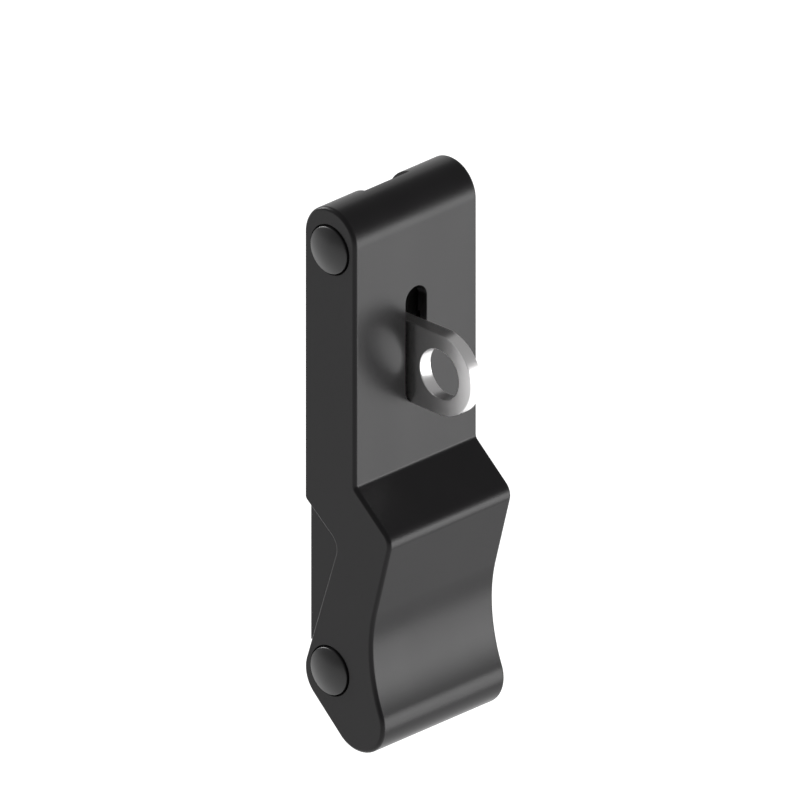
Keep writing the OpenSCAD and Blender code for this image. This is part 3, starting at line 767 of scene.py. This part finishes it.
def make_bumpers():
    profile = (
        [(STEM_IN, STEM_R), (BUMPER_IN, STEM_R)]
        + [(BUMPER_IN, BUMPER_R - BUMPER_BEVEL), (BUMPER_IN + BUMPER_BEVEL, BUMPER_R)]
        + rolled(BUMPER_OUT, BUMPER_R, BUMPER_RIM, 8)
        + [(BUMPER_OUT - depth, r) for depth, r in BUMPER_HOLLOW]
    )
    for side, mirror in (("left", True), ("right", False)):
        pad = lathe(f"rubber_pad_{side}", (BUMPER_X, 0, BUMPER_UP), profile, "Y", mirror, 64)
        finish(pad, f"bumper_{side}", "base_body", strap_rubber)


# Pieces

make_lever()
make_pins()
make_staple()
make_strap()
make_hook()
make_rivets()
make_bumpers()

# CAD nodes that keep their shape and get a better material
NODE_LOOKS = {
    "base": base_plastic,
    "staple_foot": rolled_steel,
    "staple_rivets": rivet_steel,
    "pivot_bush_left": bush_plastic,
    "pivot_bush_right": bush_plastic,
    "link_eye_sleeve": rolled_steel,
}
for node, mat in NODE_LOOKS.items():
    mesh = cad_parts[node].data
    mesh.materials.clear()
    mesh.materials.append(mat)

# Camera, at the photograph's angle and framing

AZIMUTH, ELEVATION = -45.25, 25.3
VIEW_WIDTH = 0.1332
CAMERA_REACH = 1.2
CAMERA_FAR = 20
TARGET_UP, TARGET_X = 44.28, 2.08
TARGET = placed(END_R, TARGET_UP, TARGET_X)


def direction(azimuth, elevation):
    """Unit vector from the object towards a viewer or lamp at that bearing."""
    a, e = radians(azimuth), radians(elevation)
    return Vector((sin(a) * cos(e), -cos(a) * cos(e), sin(e)))


def aimed(thing, azimuth, elevation, distance):
    """Stands a camera or lamp at that bearing and turns it to the target."""
    towards = direction(azimuth, elevation)
    thing.location = TARGET + towards * distance
    thing.rotation_euler = towards.to_track_quat("Z", "Y").to_euler()


camera_data = bpy.data.cameras.new("camera")
camera_data.type = "ORTHO"
camera_data.ortho_scale = VIEW_WIDTH
camera_data.clip_end = CAMERA_FAR
camera = new_object("camera", camera_data)
aimed(camera, AZIMUTH, ELEVATION, CAMERA_REACH)
bpy.context.scene.camera = camera

# Floor, well below a latch that is fixed to an upright panel

FLOOR_DROP = 0.9
FLOOR_HALF = 7
FLOOR_PAINT = 0.40
corners = [(-FLOOR_HALF, -FLOOR_HALF, 0), (FLOOR_HALF, -FLOOR_HALF, 0),
           (FLOOR_HALF, FLOOR_HALF, 0), (-FLOOR_HALF, FLOOR_HALF, 0)]
floor_mesh = bpy.data.meshes.new("floor")
floor_mesh.from_pydata(corners, [], [(0, 1, 2, 3)])
floor = new_object("floor", floor_mesh)
floor.location.z = -FLOOR_DROP


def seen_directly(nodes, links):
    """1 for rays from the camera, mirror rays and rays through glass, 0 for soft light."""
    path = nodes.new("ShaderNodeLightPath")
    total = path.outputs["Is Camera Ray"]
    for name in ("Is Glossy Ray", "Is Transmission Ray"):
        step = nodes.new("ShaderNodeMath")
        step.operation = "MAXIMUM"
        links.new(total, step.inputs[0])
        links.new(path.outputs[name], step.inputs[1])
        total = step.outputs[0]
    return total


def make_floor_material():
    """Grey paint under the lamps that shows as white wherever it is seen directly."""
    mat = bpy.data.materials.new("pale_floor")
    mat.use_nodes = True
    nodes, links = mat.node_tree.nodes, mat.node_tree.links
    nodes.remove(nodes["Principled BSDF"])
    paint = nodes.new("ShaderNodeBsdfDiffuse")
    paint.inputs["Color"].default_value = (FLOOR_PAINT, FLOOR_PAINT, FLOOR_PAINT, 1)
    glow = nodes.new("ShaderNodeEmission")
    glow.inputs["Strength"].default_value = 1
    dark = nodes.new("ShaderNodeEmission")
    dark.inputs["Strength"].default_value = 0
    chosen = nodes.new("ShaderNodeMixShader")
    links.new(seen_directly(nodes, links), chosen.inputs["Fac"])
    links.new(dark.outputs[0], chosen.inputs[1])
    links.new(glow.outputs[0], chosen.inputs[2])
    both = nodes.new("ShaderNodeAddShader")
    links.new(paint.outputs[0], both.inputs[0])
    links.new(chosen.outputs[0], both.inputs[1])
    links.new(both.outputs[0], nodes["Material Output"].inputs["Surface"])
    return mat


floor_mesh.materials.append(make_floor_material())

# Light: a dim room, two soft lamps in front and below the latch's level, and two behind and above it

ROOM_STRENGTH = 0.31
world = bpy.data.worlds.new("room")
bpy.context.scene.world = world
world.use_nodes = True
background = world.node_tree.nodes["Background"]
background.inputs["Color"].default_value = (1, 1, 1, 1)
background.inputs["Strength"].default_value = ROOM_STRENGTH


def lamp(name, azimuth, elevation, distance, size, power):
    data = bpy.data.lights.new(name, "AREA")
    data.shape = "DISK"
    data.size = size
    data.energy = power
    aimed(new_object(name, data), azimuth, elevation, distance)


lamp("key", azimuth=34, elevation=-16, distance=1.4, size=0.9, power=9.9)
lamp("side", azimuth=50, elevation=-3, distance=1.4, size=0.7, power=3.8)
lamp("wall", azimuth=-165, elevation=25, distance=2.0, size=1.2, power=34)
lamp("back", azimuth=140, elevation=22, distance=2.0, size=1.6, power=5)

bpy.context.scene.view_settings.view_transform = "Standard"
